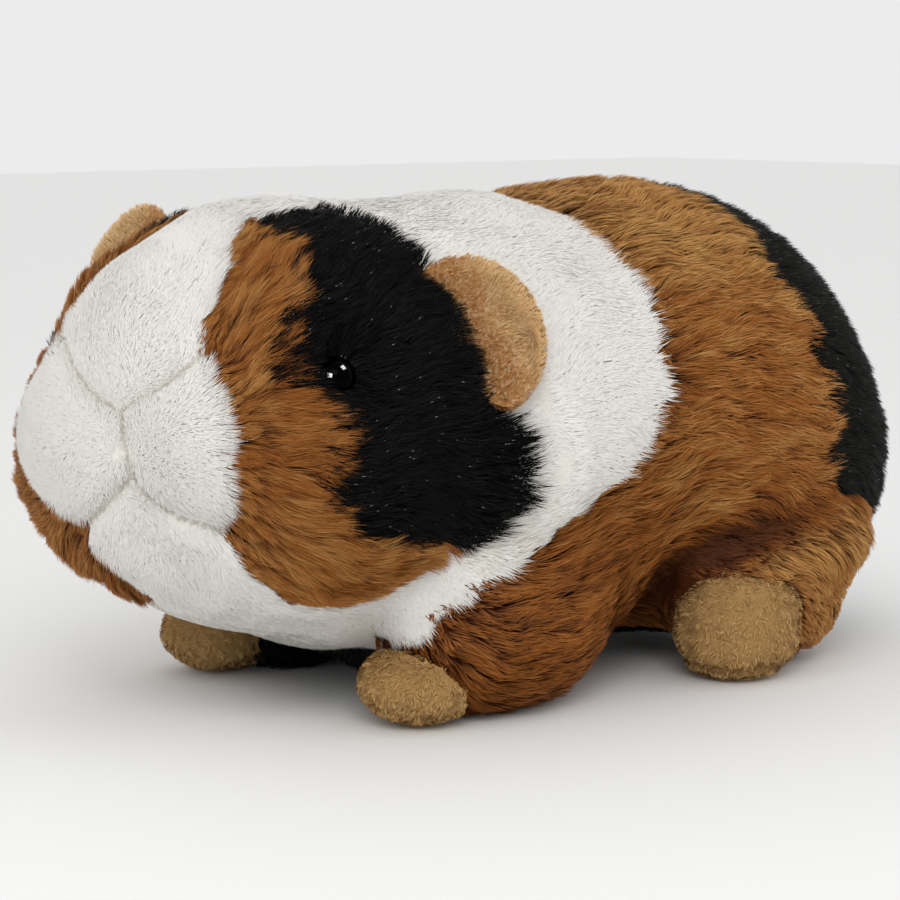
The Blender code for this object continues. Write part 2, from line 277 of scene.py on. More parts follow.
# The right cheek is stuffed a little fuller beside the muzzle, and the brow above it a little flatter.
CHEEK_BULGE, BROW_DENT = 1.6, 4.2
set_points(shell.data, coat)
fuller = CHEEK_BULGE * swelling(coat, (-23, -44, 17), (11, 14, 9))
flatter = BROW_DENT * swelling(coat, (-18, -27, 38), (12, 14, 10))
coat = coat + normals_of(shell.data) * (fuller - flatter)[:, None]

# The thigh is dented where the hind paw is set into it.
HIND_PAW_MIDDLE, HIND_PAW_SIZE = np.array((48.3, 38.2, 12.9)), np.array((14.4, 15.7, 13.6))
SQUARENESS = 2.5  # 2 gives an ellipsoid
PAW_DENT = 1.2


def boxy(offsets):
    """Length of each offset, measured so that a ball of even length has fuller shoulders and a flatter sole."""
    flat, tall = np.hypot(offsets[:, 0], offsets[:, 1]), np.abs(offsets[:, 2])
    return (flat**SQUARENESS + tall**SQUARENESS) ** (1 / SQUARENESS)


def paw_gap(points):
    """How far out each point lies from the middle of the hind paw on its side, where 1 is the paw's surface."""
    near = np.column_stack((np.abs(points[:, 0]), points[:, 1:]))
    return boxy((near - HIND_PAW_MIDDLE) / HIND_PAW_SIZE)


set_points(shell.data, coat)
coat = coat - normals_of(shell.data) * (PAW_DENT * ramp(paw_gap(coat), 1.3, 1.05))[:, None]
coat = eased(coat, edges, 3)
set_points(shell.data, coat)
level = unit(eased(normals_of(shell.data), edges, 30))  # the way the surface faces, its valleys left out
sunk = sunk_by_seams(coat)
coat = eased(coat - normals_of(shell.data) * sunk[:, None], edges, 2, 0.4)
set_points(shell.data, coat)

# The panels, as regions of the shell. Round the head they are told apart by the angle round from the nose
# (left positive) and the rise above the head's middle, in degrees, and on the trunk by y and z in mm. Each
# table gives an edge: rise to angle round the head, but angle to rise for the cheek's foot, and z to y behind.
PANELS = FACE, COLLAR, CHEEK, EAR_PATCH, SADDLE, RUMP, BELLY = range(7)
HEAD_POLE = np.array((0.0, -10.0, 0.0))
BLAZE_LEFT = (
    (-60, 75), (-44, 58), (-40, 50), (-36, 43), (-30, 37), (-25, 33), (-20, 31.5), (-17, 33.5), (-10, 35), (0, 34),
    (5, 33.5), (10, 31.5), (15, 29), (20, 26.5), (25, 24.5), (33, 23), (36, 24), (40, 26.5), (45, 26.5), (75, 27),
)
BLAZE_RIGHT = (
    (-65, -12), (-55, -4), (-48, 0), (-43, -9), (-38, -15), (-34, -19), (-29, -21), (-26, -30), (-22, -40),
    (-16, -48), (-10, -53), (-3, -53), (5, -48), (14, -39), (21, -34), (28, -32), (38, -33), (47, -35), (56, -38),
    (62, -42), (75, -54),
)
EAR_PATCH_FRONT = (
    (-26, 99), (-24, 88), (-22, 75), (-20, 68), (-15, 64), (-8, 63), (0, 65), (5, 65.5), (10, 64), (13, 60),
    (16, 54), (20, 52), (27, 53), (31, 53.5), (38, 56), (48, 59), (55, 61), (61, 58), (64, 54), (67, 48), (71, 40),
    (75, 34),
)
CHEEK_FOOT = (
    (36, -27), (41, -36), (48, -40.5), (57, -43), (69, -42), (83, -41.5), (93, -37.5), (99, -32), (103, -27),
    (112, -21),
)
HEAD_BACK = (
    (-40, 105), (-26, 106), (-23, 109), (-19, 112), (-5, 113), (2, 112.5), (8, 111.5), (18, 112), (28, 116),
    (38, 121), (41, 123), (46, 128), (51, 135), (64, 143), (76, 140),
)
COLLAR_BACK = (
    (9, -64), (13, -57), (15, -53.5), (17, -52.3), (19, -50.5), (21.5, -48.5), (24, -45.5), (27, -41), (30, -35),
    (34, -29), (40, -21), (45, -14), (50, -8), (55, -2), (60, 3), (65, 6), (68, 10), (75, 8), (80, 9.5), (90, 11.5),
    (95, 9.5), (100, 7.5), (105, 5.5), (108, 3), (112, -3),
)
RUMP_FRONT = (
    (33, 90), (37, 76), (40, 69), (45, 64.5), (50, 61.5), (58, 62.5), (67, 64), (78, 61), (84, 58), (88, 55),
    (93, 52.5), (97, 55), (100, 57), (106, 54), (112, 50),
)
CHIN_FOOT = -62  # the lowest rise of any panel of the head
WANDER = 0.7  # how far the panels' edges stray from the tables


def panel_of(points):
    """Which panel each point lies on. A later rule goes before an earlier one."""
    points = points + WANDER * np.stack([waves(points, 9, 31 + axis) for axis in range(3)], 1)
    x, y, z = points.T
    head = in_head(points) - HEAD_POLE
    turn = np.degrees(np.arctan2(head[:, 0], -head[:, 1]))
    rise = np.degrees(np.arctan2(head[:, 2], np.hypot(head[:, 0], head[:, 1])))
    round_head = np.abs(turn)
    off_blaze = (turn >= read_off(rise, BLAZE_LEFT)) | (turn <= read_off(rise, BLAZE_RIGHT))
    foot = np.where(turn > 20, read_off(round_head, CHEEK_FOOT), CHIN_FOOT)
    top = np.where(turn > 0, 76, 60)
    right_patch_back = np.where(turn < 0, 8 + 20 * ramp(rise, 20, 34), 0)
    patch_front = read_off(rise, EAR_PATCH_FRONT) + right_patch_back
    under_chest = (np.abs(x) < 28) & (z < 27)
    collar_back = np.where(under_chest, -38, read_off(z, COLLAR_BACK))
    on_head = (round_head < read_off(rise, HEAD_BACK)) & (y < collar_back) & (rise > CHIN_FOOT)
    panel = np.full(len(points), COLLAR)
    panel[on_head & (head[:, 1] < 20) & (rise < 78)] = FACE
    panel[on_head & off_blaze & (rise > foot) & (rise < top + 2)] = CHEEK
    panel[on_head & (round_head > patch_front) & (rise > -26) & (rise < top)] = EAR_PATCH
    trunk = y >= collar_back
    panel[trunk] = SADDLE
    panel[trunk & ((y > read_off(z, RUMP_FRONT)) | ((y > 80) & (np.abs(x) < 24)))] = RUMP
    chest = y < -20
    low = (z < np.where(chest, 14, 9)) & (np.abs(x) < np.where(chest, 30, 22))
    panel[low & (y > -78) & (y < 98)] = BELLY
    return panel


def by_panel(values, panels):
    """The value that belongs to each point's panel."""
    return np.array([values[panel] for panel in PANELS])[panels]


# The backing lies below the tips by the depth of the pile: most on the saddle, least on the face and legs.
PILE_DEPTH = {FACE: 1.0, COLLAR: 1.6, CHEEK: 4.8, EAR_PATCH: 4.4, SADDLE: 4.8, RUMP: 4.4, BELLY: 3.0}
SHELL_LOWEST = 0.2  # above the table
depth = by_panel(PILE_DEPTH, panel_of(coat))
on_thigh = ramp(coat[:, 2], 44, 34) * ramp(coat[:, 1], 22, 34)
depth *= 1 - 0.3 * ramp(coat[:, 2], 34, 18) - 0.2 * on_thigh
depth = eased(depth[:, None], edges, 8)[:, 0]
backing = eased(coat - normals_of(shell.data) * depth[:, None], edges, 2)
backing[:, 2] = np.maximum(backing[:, 2], SHELL_LOWEST)
set_points(shell.data, backing)


def unwrapped(piece, angle=66, margin=0.01):
    """Gives a piece its UV map, cut where its faces turn by more than angle degrees."""
    bpy.ops.object.select_all(action="DESELECT")
    bpy.context.view_layer.objects.active = piece
    piece.select_set(True)
    bpy.ops.object.mode_set(mode="EDIT")
    bpy.ops.mesh.select_all(action="SELECT")
    bpy.ops.uv.smart_project(angle_limit=math.radians(angle), island_margin=margin)
    bpy.ops.object.mode_set(mode="OBJECT")
    piece.data.uv_layers[0].name = "OFBake"


unwrapped(shell, angle=60, margin=0.003)  # the pile's patches lie on it too


def linear(code):
    """An sRGB hex colour as linear red, green and blue."""
    parts = [int(code[place:place + 2], 16) / 255 for place in (1, 3, 5)]
    return tuple(part / 12.92 if part <= 0.04045 else ((part + 0.055) / 1.055) ** 2.4 for part in parts)


# The backing's colour under each of the three dyes, and the dye of each panel. Below the pile the backing is painted
# darker than the fibres' tips, as painted shade, most of all under the ginger.
BACKING = {"white": "#e4e1da", "ginger": "#3f1d08", "black": "#070707"}
DYE_OF_PANEL = ("white", "white", "ginger", "black", "ginger", "black", "black")
dyes_and_shade = by_panel([(*linear(BACKING[dye]), 1.0) for dye in DYE_OF_PANEL], panel_of(backing))
dye_and_shade_layer = shell.data.color_attributes.new("dye", "FLOAT_COLOR", "POINT")
dye_and_shade_layer.data.foreach_set("color", dyes_and_shade.astype(np.float32).ravel())


def add(tree, kind, settings=None, links=None):
    """Adds a node, with its settings (socket names, or properties in lower case) and its inputs' links."""
    made = tree.nodes.new(kind)
    for key, value in (settings or {}).items():
        if isinstance(key, int) or key in made.inputs:
            made.inputs[key].default_value = value
        else:
            setattr(made, key, value)
    for key, source in (links or {}).items():
        tree.links.new(source, made.inputs[key])
    return made


def material(name):
    """A new material, its node tree and its Principled shader."""
    made = bpy.data.materials.new(name)
    made.use_nodes = True
    return made, made.node_tree, made.node_tree.nodes["Principled BSDF"]


# Warp-knitted polyester backing: a matt cloth with a fine rib of 1 mm, in the colour of the pile above it, darkened
# as painted shade where the pile covers it.
backing_cloth, tree, shader = material("knitted_backing")
dye = add(tree, "ShaderNodeAttribute", {"attribute_name": "dye"})
tree.links.new(dye.outputs["Color"], shader.inputs["Base Color"])
place = add(tree, "ShaderNodeTexCoord")
rib = add(tree, "ShaderNodeTexNoise", {"Scale": 900.0, "Detail": 2.0}, {"Vector": place.outputs["Object"]})
bump = add(tree, "ShaderNodeBump", {"Strength": 0.5, "Distance": 0.0003}, {"Height": rib.outputs["Fac"]})
tree.links.new(bump.outputs["Normal"], shader.inputs["Normal"])
shader.inputs["Roughness"].default_value = 0.95
shader.inputs["Specular IOR Level"].default_value = 0.08
shell.data.materials.append(backing_cloth)

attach(shell, "root")
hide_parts(*FLESH)

# ---------------------------------------------------------------------------------------------------------
# Plush pile
# Acrylic fibres stand out of the backing and lie back from the nose to the tail. They cling together in
# small locks, deepest on the ginger cheeks and saddle, and are short and even on the white face.
# ---------------------------------------------------------------------------------------------------------

MOST_TRIANGLES = 196000  # in one piece
FAR = 100.0  # added to the distance of a point that lies on another side
PATCH_SIZE = 0.0015  # half the size of a fibre's patch on the unwrap
FIBRE_LOWEST = 0.35  # above the table


def scattered(surface, per_mm2, seed, carried):
    """Fibre roots spread over a mesh: places and normals in mm, their places on its unwrap, and values carried."""
    mesh = surface.data
    mesh.calc_loop_triangles()
    count = len(mesh.loop_triangles)
    corners = np.empty(count * 3, np.int32)
    loops = np.empty(count * 3, np.int32)
    mesh.loop_triangles.foreach_get("vertices", corners)
    mesh.loop_triangles.foreach_get("loops", loops)
    corners, loops = corners.reshape(-1, 3), loops.reshape(-1, 3)
    unwrap = np.empty(len(mesh.loops) * 2, np.float32)
    mesh.uv_layers["OFBake"].uv.foreach_get("vector", unwrap)
    unwrap = unwrap.reshape(-1, 2)
    points, normals = points_of(mesh), normals_of(mesh)
    a, b, c = points[corners[:, 0]], points[corners[:, 1]], points[corners[:, 2]]
    area = np.linalg.norm(np.cross(b - a, c - a), axis=1) / 2
    rng = np.random.default_rng(seed)
    number = rng.poisson(area * per_mm2((a + b + c) / 3, unit(normals[corners].sum(1))))
    owner = np.repeat(np.arange(count), number)
    first, second = rng.random(len(owner)), rng.random(len(owner))
    over = first + second > 1
    first[over], second[over] = 1 - first[over], 1 - second[over]
    shares = np.stack((1 - first - second, first, second), 1)[:, :, None]
    roots = {
        "at": (points[corners[owner]] * shares).sum(1),
        "up": unit((normals[corners[owner]] * shares).sum(1)),
        "patch": (unwrap[loops[owner]] * shares).sum(1),
    }
    for key, values in carried.items():
        roots[key] = (values.reshape(len(points), -1)[corners[owner]] * shares).sum(1).squeeze()
    return roots


EYE_AXES = {name: unit(eyes[name] - from_head(HEAD_POLE)) for name in eyes}
EYE_BACK = -9  # a point further back than this along an eye's axis isn't near that eye


def off_eye(points, name):
    """The part of each point's offset from an eye that lies across the way the eye looks."""
    offset = points - eyes[name]
    ahead = (offset @ EYE_AXES[name])[:, None]
    return offset - ahead * EYE_AXES[name] + FAR * (ahead < EYE_BACK)


def lie_of(points, up):
    """The way the pile lies: back from the muzzle over the head, then along the trunk towards the tail."""
    head = in_head(points)
    from_nose = unit(head - np.array((0.0, -50.0, -5.0))) @ HEAD_TURN.T
    x, y, z = points.T
    rising = 0.6 * ramp(z, 64, 42) * ramp(y, 24, 4)
    falling = 0.5 * ramp(y, 34, 76) + 0.5 * ramp(z, 60, 30) * ramp(y, 22, 44)
    along_trunk = np.stack((np.zeros(len(x)), np.ones(len(x)), rising - falling), 1)
    behind = ramp(head[:, 1], 2, 26)[:, None]
    way = unit(from_nose) * (1 - behind) + unit(along_trunk) * behind
    # Round an eye the pile parts and lies away from the bead, but not below it.
    for name in eyes:
        away = unit(off_eye(points, name))
        near = ramp(np.linalg.norm(off_eye(points, name), axis=1), 11, 4)
        below = ramp(away @ unit(np.array((0.0, -0.6, -0.8))), 0.2, 0.8)
        way = way + (1.3 * near * (1 - 0.9 * below))[:, None] * away
    way = unit(way - up * (way * up).sum(1, keepdims=True))
    swing = 0.30 * waves(points, 30, 3) + 0.26 * waves(points, 11, 4)
    across = np.cross(up, way)
    return way * np.cos(swing)[:, None] + across * np.sin(swing)[:, None]


# name, slot and stuff are the piece's. reach is a fibre's length to the depth of the pile, and width its width.
# Each of the locks is (spacing, share of the way drawn together, share by which its edges lie lower and are painted
# darker, as painted shade). lean is
# # how unevenly the fibres face, levels the shares of the length where they have breadth, per_mm2 their number.
Pile = namedtuple("Pile", "name slot stuff reach width locks lean levels per_mm2")


def fibres(pile, name, roots, lie, length, height, width, seed, loose=0.12, tone=0.0):
    """Flat fibres, pointed at both ends, as one mesh. lie is the way they lie, height how far the tips stand
    off, loose how far they stray from lie, and tone how pale or dark they are."""
    rng = np.random.default_rng(seed)
    at, up = roots["at"], roots["up"]
    count = len(at)
    across = np.cross(up, lie)
    turn = (rng.normal(0, 1, count) * loose)[:, None]
    lie = lie * np.cos(turn) + across * np.sin(turn)
    across = np.cross(up, lie)
    tone = tone + rng.uniform(-0.6, 0.6, count)

    # Locks of each size: a fibre joins the nearest one, and lies lower at its edge, where its tone is painted darker
    # as painted shade in the parting.
    middles = []
    for spacing, _, relief in pile.locks:
        seeds = rng.choice(count, max(8, int(count / (pile.per_mm2 * spacing**2))), replace=False)
        tree = KDTree(len(seeds))
        for index, place in enumerate(at[seeds]):
            tree.insert(place, index)
        tree.balance()
        nearest = np.fromiter((tree.find(place)[1] for place in at), int, count)
        middles.append(seeds[nearest])
        off = np.abs(((at - at[seeds[nearest]]) * across).sum(1)) / (0.6 * spacing)
        parting = relief * np.minimum(off, 1) ** 2
        height = height * (1 - parting)
        tone = tone + rng.uniform(-0.3, 0.3, len(seeds))[nearest] - 1.6 * parting
    length = length * rng.uniform(0.78, 1.08, count)
    height = np.minimum(height * rng.uniform(0.7, 1.15, count), length * 0.96)
    reach = np.sqrt(length**2 - height**2)
    tip = up * height[:, None] + lie * reach[:, None]
    pull = np.zeros_like(tip)
    for middle, (spacing, share, _) in zip(middles, pile.locks):
        wanted = at[middle] + tip[middle] - at - tip - pull
        wanted -= lie * (wanted * lie).sum(1, keepdims=True) * 0.8
        pull += wanted * (share * rng.uniform(0.7, 1.2, count))[:, None]

    # Spines: up out of the backing, then over, drawn towards the lock, and bowed sideways.
    steps = np.array((0.0, *pile.levels, 1.0))
    level = steps[None, :, None]
    spine = at[:, None] + up[:, None] * height[:, None, None] * (1 - (1 - level) ** 1.7)
    spine = spine + lie[:, None] * reach[:, None, None] * level**1.25 + pull[:, None] * level**1.5
    bow = (0.07 * waves(at, 13, seed + 7) + rng.normal(0, 0.035, count)) * length
    spine = spine + across[:, None] * (bow[:, None] * np.sin(math.pi * 1.5 * steps))[:, :, None]
    spine[:, :, 2] = np.maximum(spine[:, :, 2], FIBRE_LOWEST + 0.5 * rng.random((count, 1)))

    # Breadth: the flat side faces outward, more or less.
    run = unit(tip + pull)
    flat = unit(np.cross(up, run))
    twist = rng.uniform(-1, 1, count)[:, None] * min(0.7, 0.12 + 2 * pile.lean)
    flat = unit(flat * np.cos(twist) + np.cross(run, flat) * np.sin(twist))
    pairs = len(pile.levels)
    each = 2 * pairs + 2
    half = width / 2 * rng.uniform(0.75, 1.2, count)
    offset = flat[:, None] * (half[:, None] * np.linspace(1, 0.8, pairs))[:, :, None]
    vertices = np.empty((count, each, 3))
    vertices[:, 0], vertices[:, -1] = spine[:, 0], spine[:, -1]
    vertices[:, 1:-1:2], vertices[:, 2:-1:2] = spine[:, 1:-1] - offset, spine[:, 1:-1] + offset
    corners = [(0, 1, 2), (2 * pairs - 1, 2 * pairs + 1, 2 * pairs)]
    for step in range(1, 2 * pairs - 2, 2):
        corners += [(step, step + 2, step + 1), (step + 1, step + 2, step + 3)]
    triangles = (np.arange(count)[:, None, None] * each + np.array(corners)).reshape(-1, 3)
    facing = unit(up - run * (up * run).sum(1, keepdims=True) * min(0.8, 2 * pile.lean))
    facing = unit(facing + flat * rng.uniform(-pile.lean, pile.lean, count)[:, None])
    along = np.repeat(steps, [1] + [2] * pairs + [1])
    spot = np.column_stack((np.tile((-1, 1), pairs + 1), 2 * along - 1)) * PATCH_SIZE
    patches = (roots["patch"][:, None] + spot).reshape(-1, 2)
    values = {"along": np.tile(along, count), "tone": np.repeat(tone, each)}
    return fibre_piece(pile, name, vertices.reshape(-1, 3), triangles, np.repeat(facing, each, 0), patches, values)


def fibre_piece(pile, name, vertices, triangles, normals, patches, values):
    """One piece from the fibres' vertices, triangles, normals, patches on the unwrap and shader values."""
    mesh = bpy.data.meshes.new(name)
    mesh.vertices.add(len(vertices))
    mesh.vertices.foreach_set("co", (vertices * MM).astype(np.float32).ravel())
    mesh.loops.add(triangles.size)
    mesh.loops.foreach_set("vertex_index", triangles.astype(np.int32).ravel())
    mesh.polygons.add(len(triangles))
    mesh.polygons.foreach_set("loop_start", np.arange(0, triangles.size, 3, dtype=np.int32))
    mesh.update(calc_edges=True)
    mesh.shade_smooth()
    unwrap = mesh.uv_layers.new(name="OFBake", do_init=False)
    unwrap.uv.foreach_set("vector", patches[triangles.ravel()].astype(np.float32).ravel())
    for key, numbers in values.items():
        mesh.attributes.new(key, "FLOAT", "POINT").data.foreach_set("value", numbers.astype(np.float32))
    mesh.normals_split_custom_set_from_vertices(normals)
    mesh.materials.append(pile.stuff)
    piece = link(bpy.data.objects.new(name, mesh))
    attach(piece, "root")
    return piece


def mixed(tree, share, first, second):
    """A colour that goes from first to second as share rises. Each is a hex colour or a node's output."""
    settings, links = {"data_type": "RGBA"}, {0: share}
    for place, colour in ((6, first), (7, second)):
        if isinstance(colour, str):
            settings[place] = (*linear(colour), 1)
        else:
            links[place] = colour
    return add(tree, "ShaderNodeMix", settings, links).outputs[2]


# The painted highlight: a pale grey spot near the bend of a few fibres.
GLINT, GLINT_AT, GLINT_HALF = "#84858a", 0.75, 0.03  # its colour, its place along the fibre and half its length
GLINT_TONE = 4.0  # the tone that marks a fibre with a glint


def acrylic(name, root, tip, pale, shade_colour, roughness, gloss):
    """Dyed acrylic fibre, with painted light: painted shade towards the root, where little light comes, and the shade
    colour for the lowest tones, some fibres paler, and a few with a painted highlight, a bright spot where they bend."""
    made, tree, shader = material(name)
    along = add(tree, "ShaderNodeAttribute", {"attribute_name": "along"}).outputs["Fac"]
    tone = add(tree, "ShaderNodeAttribute", {"attribute_name": "tone"}).outputs["Fac"]
    # Painted shade: towards the root the colour turns to the root colour.
    depth = add(tree, "ShaderNodeMapRange", {"From Min": 0.15, "From Max": 0.85}, {"Value": along}).outputs[0]
    body = mixed(tree, depth, root, tip)
    paler = add(tree, "ShaderNodeMapRange", {"From Min": -0.5, "From Max": 1.2, "To Max": 0.8}, {"Value": tone})
    share = add(tree, "ShaderNodeMath", {"operation": "MULTIPLY"}, {0: paler.outputs[0], 1: depth})
    bright = mixed(tree, share.outputs[0], body, pale)
    # Painted shade: tones below -0.8 mix towards the shade colour.
    darker = add(tree, "ShaderNodeMapRange", {"From Min": -0.8, "From Max": -2.0, "To Max": 0.8}, {"Value": tone})
    colour = mixed(tree, darker.outputs[0], bright, shade_colour)
    # Painted highlight: fibres marked with the glint tone turn to the glint colour near their bend.
    bend = add(tree, "ShaderNodeMath", {"operation": "COMPARE", 1: GLINT_AT, 2: GLINT_HALF}, {0: along})
    shiny = add(tree, "ShaderNodeMath", {"operation": "GREATER_THAN", 1: GLINT_TONE / 2}, {0: tone})
    spot = add(tree, "ShaderNodeMath", {"operation": "MULTIPLY"}, {0: bend.outputs[0], 1: shiny.outputs[0]})
    tree.links.new(mixed(tree, spot.outputs[0], colour, GLINT), shader.inputs["Base Color"])
    shader.inputs["Roughness"].default_value = roughness
    shader.inputs["Specular IOR Level"].default_value = gloss
    return made


# White acrylic pile: nearly colourless, so that it glows softly between its fibres. Its grey beige is painted shade,
# for the seams, the valleys and the low collar.
WHITE_PILE = acrylic("white_acrylic_pile", "#e8e5df", "#e9e7e2", "#eceae6", "#b3aa98", 0.85, 0.1)
# Ginger acrylic pile: a warm orange brown with straw-coloured ends here and there. The dark red brown at the root,
# and in the partings, folds and low down, is painted shade.
GINGER_PILE = acrylic("ginger_acrylic_pile", "#451b06", "#9b5b22", "#cf9f5c", "#421d07", 0.6, 0.15)
# Black acrylic pile: matt black with a fine cool glint on each fibre from its gloss, and on a few fibres a painted
# highlight, a grey spot near the bend.
BLACK_PILE = acrylic("black_acrylic_pile", "#030303", "#050505", "#2a2a26", "#020202", 0.4, 0.08)

LONG, SHORT = (0.4, 0.75), (0.5,)
CHEEK_LOCKS, SADDLE_LOCKS = ((7.0, 0.3, 0.25), (2.4, 0.5, 0.35)), ((8.0, 0.3, 0.2), (3.0, 0.45, 0.25))
PILES = {
    FACE: Pile("face_pile", "white_plush", WHITE_PILE, 2.6, 0.27, ((1.4, 0.1, 0.0),), 0.05, SHORT, 14),
    COLLAR: Pile("collar_pile", "white_plush", WHITE_PILE, 2.7, 0.33, ((2.6, 0.15, 0.0),), 0.05, SHORT, 7.5),
    CHEEK: Pile("cheek_pile", "ginger_plush", GINGER_PILE, 2.3, 0.155, CHEEK_LOCKS, 0.35, LONG, 15),
    EAR_PATCH: Pile("ear_patch_pile", "black_plush", BLACK_PILE, 1.8, 0.17, ((1.8, 0.4, 0.1),), 0.8, LONG, 6.6),
    SADDLE: Pile("saddle_pile", "ginger_plush", GINGER_PILE, 2.3, 0.26, SADDLE_LOCKS, 0.3, LONG, 4.0),
    RUMP: Pile("rump_pile", "black_plush", BLACK_PILE, 1.8, 0.30, ((2.4, 0.4, 0.2),), 0.7, SHORT, 4.5),
    BELLY: Pile("belly_pile", "black_plush", BLACK_PILE, 1.8, 0.36, ((2.4, 0.4, 0.2),), 0.7, SHORT, 2.2),
}
WHITES = (FACE, COLLAR)


def shown_panel(places, lie, spread):
    """The panel that a fibre rooted there belongs to, so that its tip overlaps the next panel as a fringe."""
    reach = by_panel([PILE_DEPTH[panel] * PILES[panel].reach for panel in PANELS], panel_of(places))
    return panel_of(places + lie * (0.6 * reach * spread)[:, None])


def pile_density(places, up):
    """Fibres per mm2 at these places."""
    shown = shown_panel(places, lie_of(places, up), 1.0)
    return by_panel([PILES[panel].per_mm2 for panel in PANELS], shown)


def seam_gap(points):
    """Distance from the muzzle's seams, as seen from the nose."""
    head = in_head(points)
    gaps = [gap_to(head[:, (0, 2)], route) for route, _, _ in MUZZLE_SEAMS]
    return np.min(gaps, axis=0) + FAR * (head[:, 1] > -34)


def pile_height(panel, roots):
    """How far the pile stands off at each root: less round an eye, in a valley, and beside a seam, a paw or white."""
    height = roots["depth"] * (1 - 0.4 * ramp(roots["to_eye"], 9, 4))
    height = height * (1 - 0.4 * roots["valley"] * (1 - roots["fold"]))
    height = height * (1 - 0.5 * ramp(roots["to_seam"], 2.4, 0.6)) * (1 - 0.25 * ramp(roots["to_paw"], 1.3, 1.0))
    height = height * (1 - 0.35 * ramp(roots["fold"], 0.7, 1.0))
    if panel in WHITES:
        return np.minimum(height, 1.3 * PILE_DEPTH[panel])
    for behind, share in ((3.0, 0.62), (6.0, 0.85)):
        height = height * np.where(panel_of(roots["at"] - roots["lie"] * behind) <= COLLAR, share, 1)
    return height


def pile_tone(panel, roots):
    """How pale the fibres are, above 0, or how dark, below it. Much of it is painted light: painted shade in the
    folds, seams and valleys and where the fibres face the table, paler on top, and a few painted glints.
    """
    x, y, z = roots["at"].T
    if panel == CHEEK:
        return np.full(len(z), 0.1)
    if panel == SADDLE:
        on_thigh = ramp(z, 44, 34) * ramp(y, 26, 38)
        on_flank = ramp(y, 4, 16) * ramp(y, 34, 26) * ramp(z, 18, 28) * ramp(z, 50, 40)
        # Painted light: paler towards the top, where the light falls; painted shade low down, where the fibres face
        # the table, and in the thigh's fold. Paler on the thigh and the flank.
        tone = 1.1 * ramp(z, 70, 104) - 0.7 * ramp(z, 52, 28) * (1 - on_thigh) + 0.8 * on_thigh + 0.8 * on_flank
        return tone - 1.6 * roots["fold"] - 2.0 * ramp(roots["fold"], 0.6, 1.0)
    if panel in (EAR_PATCH, RUMP, BELLY):
        # A few black fibres carry a painted highlight near their bend, and the rump's black is painted paler, as
        # painted light.
        glints = (np.random.default_rng(13).random(len(z)) < 0.012) & (roots["to_eye"] > 8)
        return np.where(glints, GLINT_TONE, 0.5 if panel == RUMP else -0.6)
    # Painted shade along the muzzle's seams and in its valleys, and low down on the collar.
    tone = 0.4 - 1.9 * np.exp(-((roots["to_seam"] / 0.9) ** 2)) - 0.3 * roots["valley"]
    return tone - 1.3 * ramp(z, 75, 38) if panel == COLLAR else tone


carried = {"depth": depth, "level": level, "valley": np.clip(sunk / 3.6, 0, 1), "fold": np.clip(sunk / 8, 0, 1)}
sown = scattered(shell, pile_density, 11, carried)
sown["lie"] = lie_of(sown["at"], unit(sown["level"]))
sown["up"] = unit(sown["up"] + unit(sown["level"]))
owners = shown_panel(sown["at"], sown["lie"], np.random.default_rng(12).normal(1, 0.22, len(sown["at"])))
OPENING = np.array((0.0, -0.5, 0.8))  # the parting sits a little above the bead, so hair crosses its lower edge
sown["to_eye"] = np.min([np.linalg.norm(off_eye(sown["at"] - OPENING, name), axis=1) for name in eyes], axis=0)
sown["to_seam"] = seam_gap(sown["at"])
sown["to_paw"] = paw_gap(sown["at"])
sown["on_nose"] = ramp(np.linalg.norm(in_head(sown["at"]) - np.array((0, -55, -3)), axis=1), 24, 10)
clear = (sown["to_eye"] > 2.9) & (sown["to_paw"] > 0.94)
for panel, pile in PILES.items():
    chosen = np.flatnonzero((owners == panel) & clear)
    chosen = chosen[np.argsort(sown["at"][chosen, 1], kind="stable")]
    parts = math.ceil(len(chosen) * 2 * len(pile.levels) / MOST_TRIANGLES)
    for number, share in enumerate(np.array_split(chosen, parts)):
        roots = {key: values[share] for key, values in sown.items()}
        height = pile_height(panel, roots)
        length, width, stand = pile.reach * height, pile.width, 1.08
        if panel in WHITES:
            # White fibres lie flatter, and are longer and finer where they cross on to a darker panel.
            fringe = panel_of(roots["at"] + roots["lie"] * 3.0) > COLLAR
            length, width, stand = length * (1 + 0.3 * fringe), width * (1 - 0.5 * fringe), 0.6
        name = pile.name if parts == 1 else f"{pile.name}_{number + 1}"
        fibres(pile, name, roots, roots["lie"], length, stand * height, width, seed=100 + panel * 10 + number,
               loose=0.12 + 0.5 * roots["on_nose"], tone=pile_tone(panel, roots))

# ---------------------------------------------------------------------------------------------------------
# Paws
# Four stub paws of tan velboa, a very short dense pile, each sewn shut over fibre. The hind soles have a
# seam near the floor.
# ---------------------------------------------------------------------------------------------------------

